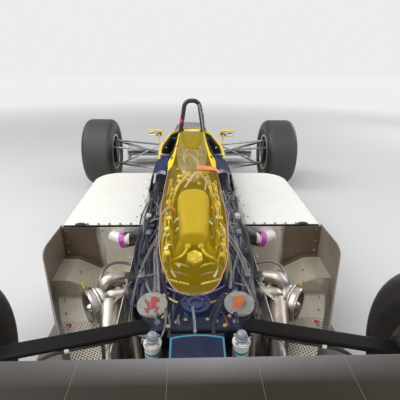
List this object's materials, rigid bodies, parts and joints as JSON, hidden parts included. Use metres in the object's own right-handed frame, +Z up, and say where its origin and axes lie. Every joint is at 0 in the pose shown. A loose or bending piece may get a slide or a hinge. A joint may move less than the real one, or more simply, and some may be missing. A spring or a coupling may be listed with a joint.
{
  "type": "open wheel racing car",
  "caption": "Single seat open wheel racing car with slick tyres, front and rear wings, a clear engine cover, open turbocharger bays and steered front wheels.",
  "frame": {"origin": "on the ground, midway along the car and on its centre line", "axes": "+X towards the nose, +Y to the car's left, +Z up"},
  "size_m": [4.4, 2.104, 0.9999],
  "materials": {
    "navy_paint": "glossy clear-coated paint",
    "yellow_paint": "glossy clear-coated paint",
    "white_paint": "glossy clear-coated paint",
    "bare_composite": "bare woven composite under a dull lacquer",
    "dark_carbon": "dark carbon weave",
    "clear_shell": "clear moulded plastic",
    "screen": "smoked clear plastic",
    "seat_pad": "black upholstery",
    "pad_cover": "white padded cover",
    "black_tube": "black painted steel tube",
    "grey_steel": "plain steel tube",
    "magnesium": "dark cast magnesium",
    "bright_alloy": "brushed sheet, heat tinted",
    "cast_alloy": "sand cast aluminium",
    "core": "finned matrix",
    "hot_steel": "heat stained stainless steel",
    "rim_alloy": "satin machined alloy",
    "disc_iron": "ground faces",
    "tyre": "slick rubber, slightly worn",
    "white_duct": "white moulded duct",
    "white_tank": "white plastic",
    "frosted": "frosted plastic",
    "wheel_grip": "black suede grip"
  },
  "bodies": {
    "chassis": {"monocoque": "navy_paint", "nose_cone": "yellow_paint", "cockpit_rim": "yellow_paint", "windscreen": "screen", "seat": "seat_pad", "headrest": "pad_cover", "roll_hoop": "black_tube", "mirrors": "yellow_paint", "front_wing": "dark_carbon", "front_wing_endplates": "white_paint", "undertray": "bare_composite", "pod_covers": "white_paint", "bay_walls": "bare_composite", "heat_shields": "bright_alloy", "radiators": "core", "rear_wing": "dark_carbon", "rear_wing_endplates": "white_paint", "engine": "cast_alloy", "plenum": "cast_alloy", "gearbox": "magnesium", "rear_upper_arms": "dark_carbon", "rear_lower_links": "grey_steel", "rear_uprights": "cast_alloy", "turbochargers": "hot_steel", "charge_ducts": "white_duct", "engine_cover": "clear_shell", "tail_panel": "navy_paint", "reservoirs": "white_tank", "blanking_discs": "frosted", "front_wishbones": "grey_steel"},
    "steering_rack": {"track_rods": "grey_steel"},
    "steering_wheel": {"steering_wheel": "wheel_grip"},
    "front_left_knuckle": {"front_left_upright": "cast_alloy"},
    "front_right_knuckle": {"front_right_upright": "cast_alloy"},
    "front_left_wheel": {"front_left_tyre": "tyre", "front_left_rim": "rim_alloy", "front_left_hub": "disc_iron"},
    "front_right_wheel": {"front_right_tyre": "tyre", "front_right_rim": "rim_alloy", "front_right_hub": "disc_iron"},
    "rear_left_wheel": {"rear_left_tyre": "tyre", "rear_left_rim": "rim_alloy", "rear_left_hub": "disc_iron"},
    "rear_right_wheel": {"rear_right_tyre": "tyre", "rear_right_rim": "rim_alloy", "rear_right_hub": "disc_iron"}
  },
  "joints": [
    {"name": "front_left_steer", "type": "hinge", "parent": "chassis", "child": "front_left_knuckle", "pos_m": [1.3, 0.775, 0.325], "axis": [0, 0, 1], "range_deg": [-18, 18]},
    {"name": "front_right_steer", "type": "hinge", "parent": "chassis", "child": "front_right_knuckle", "pos_m": [1.3, -0.775, 0.325], "axis": [0, 0, 1], "range_deg": [-18, 18]},
    {"name": "rack_slide", "type": "slide", "parent": "chassis", "child": "steering_rack", "axis": [0, -1, 0], "range_m": [-0.034, 0.034]},
    {"name": "steering_wheel_turn", "type": "hinge", "parent": "chassis", "child": "steering_wheel", "pos_m": [0.485, 0, 0.505], "axis": [-0.9703, 0, 0.2419], "range_deg": [-182, 182]},
    {"name": "front_left_roll", "type": "hinge", "parent": "front_left_knuckle", "child": "front_left_wheel", "pos_m": [1.3, 0.892, 0.325], "axis": [0, 1, 0], "continuous": true},
    {"name": "front_right_roll", "type": "hinge", "parent": "front_right_knuckle", "child": "front_right_wheel", "pos_m": [1.3, -0.892, 0.325], "axis": [0, 1, 0], "continuous": true},
    {"name": "rear_left_roll", "type": "hinge", "parent": "chassis", "child": "rear_left_wheel", "pos_m": [-1.5, 0.842, 0.34], "axis": [0, 1, 0], "continuous": true},
    {"name": "rear_right_roll", "type": "hinge", "parent": "chassis", "child": "rear_right_wheel", "pos_m": [-1.5, -0.842, 0.34], "axis": [0, 1, 0], "continuous": true}
  ],
  "couplings": [
    {"joint": "front_right_steer", "follows": "front_left_steer", "ratio": 1},
    {"joint": "rack_slide", "follows": "front_left_steer", "m_per_rad": 0.105},
    {"joint": "steering_wheel_turn", "follows": "front_left_steer", "ratio": 10}
  ]
}
